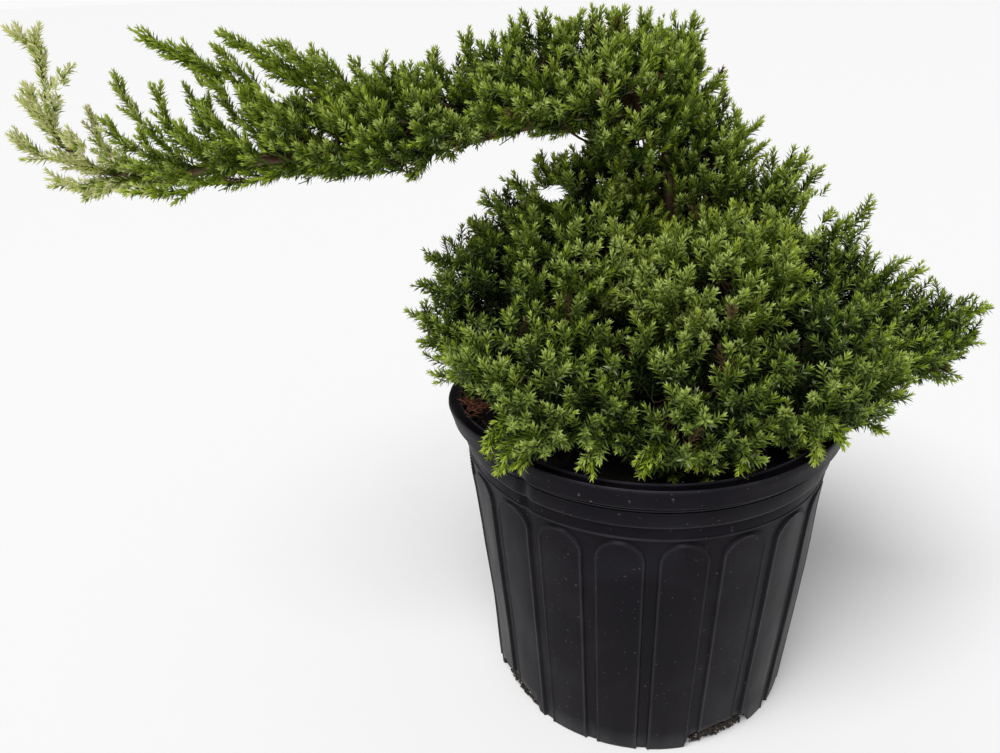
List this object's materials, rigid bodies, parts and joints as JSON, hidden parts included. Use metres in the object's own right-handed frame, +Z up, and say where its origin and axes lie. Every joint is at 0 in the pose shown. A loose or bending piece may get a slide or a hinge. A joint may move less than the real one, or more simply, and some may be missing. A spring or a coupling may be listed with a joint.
{
  "type": "potted garden juniper bonsai",
  "caption": "Young garden juniper in a round ribbed nursery pot, with a spreading mound and one long arm of foliage trained to the side.",
  "frame": {"origin": "centre of the pot's flat underside", "axes": "+Z up out of the pot, -X along the long arm of foliage, +Y away from the side that the picture shows"},
  "size_m": [0.6245, 0.2895, 0.5004],
  "materials": {
    "pot_plastic": "satin",
    "soil": "matte",
    "bark": "matte",
    "arm_bark": "matte",
    "mound_foliage": "matte",
    "crown_foliage": "matte",
    "head_foliage": "matte",
    "arm_foliage": "matte"
  },
  "bodies": {
    "root": {"arm": "arm_bark", "arm_back_1": "arm_foliage", "arm_back_2": "arm_foliage", "arm_back_3": "arm_foliage", "arm_back_4": "arm_foliage", "arm_end": "arm_foliage", "arm_front_1": "arm_foliage", "arm_front_2": "arm_foliage", "arm_front_3": "arm_foliage", "arm_front_4": "arm_foliage", "arm_hook": "arm_foliage", "arm_top_1": "arm_foliage", "arm_top_2": "arm_foliage", "arm_top_3": "arm_foliage", "arm_top_4": "arm_foliage", "arm_top_5": "arm_foliage", "bough_mound_back": "bark", "bough_mound_back_left": "bark", "bough_mound_back_right": "bark", "bough_mound_far_right": "bark", "bough_mound_front": "bark", "bough_mound_front_left": "bark", "bough_mound_front_right": "bark", "bough_mound_left": "bark", "bough_mound_right": "bark", "bough_skirt_front_right": "bark", "bough_skirt_right": "bark", "crown_back": "crown_foliage", "crown_front": "crown_foliage", "crown_left": "crown_foliage", "crown_right": "crown_foliage", "crown_sprig": "crown_foliage", "head_back": "head_foliage", "head_front": "head_foliage", "head_left": "head_foliage", "head_low": "head_foliage", "head_right": "head_foliage", "head_top": "head_foliage", "mound_back": "mound_foliage", "mound_back_left": "mound_foliage", "mound_back_right": "mound_foliage", "mound_far_right": "mound_foliage", "mound_front": "mound_foliage", "mound_front_left": "mound_foliage", "mound_front_right": "mound_foliage", "mound_left": "mound_foliage", "mound_right": "mound_foliage", "pot": "pot_plastic", "skirt_front_right": "mound_foliage", "skirt_right": "mound_foliage", "soil": "soil", "trunk": "bark"}
  },
  "joints": []
}
